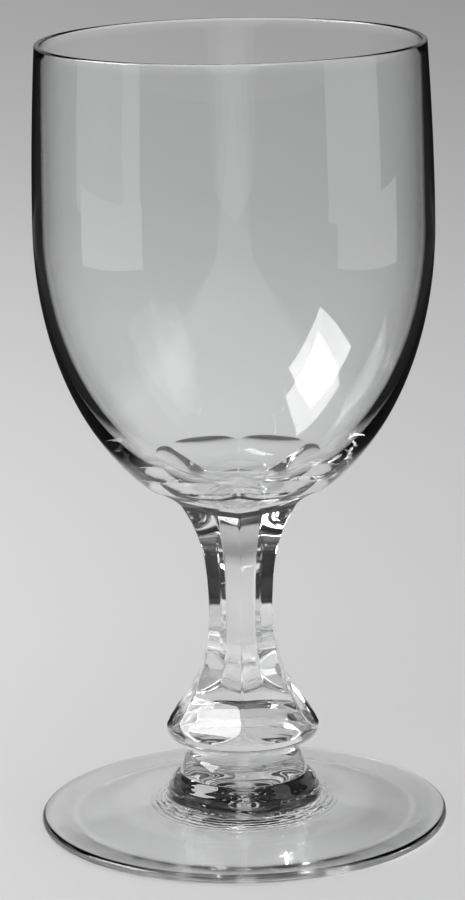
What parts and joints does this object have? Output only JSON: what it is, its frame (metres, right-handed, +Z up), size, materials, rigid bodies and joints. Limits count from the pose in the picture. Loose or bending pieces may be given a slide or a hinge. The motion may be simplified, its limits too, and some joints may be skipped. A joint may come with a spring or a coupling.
{
  "type": "water goblet",
  "caption": "Stemmed clear glass water goblet with a deep round bowl, a six-sided stem with a round knop, a joining button and a disc foot.",
  "frame": {"origin": "centre of the foot's resting plane, on the goblet's axis", "axes": "+Z up along the goblet's axis; one arris of the six-sided stem faces -Y"},
  "size_m": [0.084, 0.084, 0.1615],
  "materials": {
    "clear_glass": "fire-polished clear glass"
  },
  "bodies": {
    "root": {"bowl": "clear_glass", "stem": "clear_glass", "merese": "clear_glass", "foot": "clear_glass"}
  },
  "joints": []
}
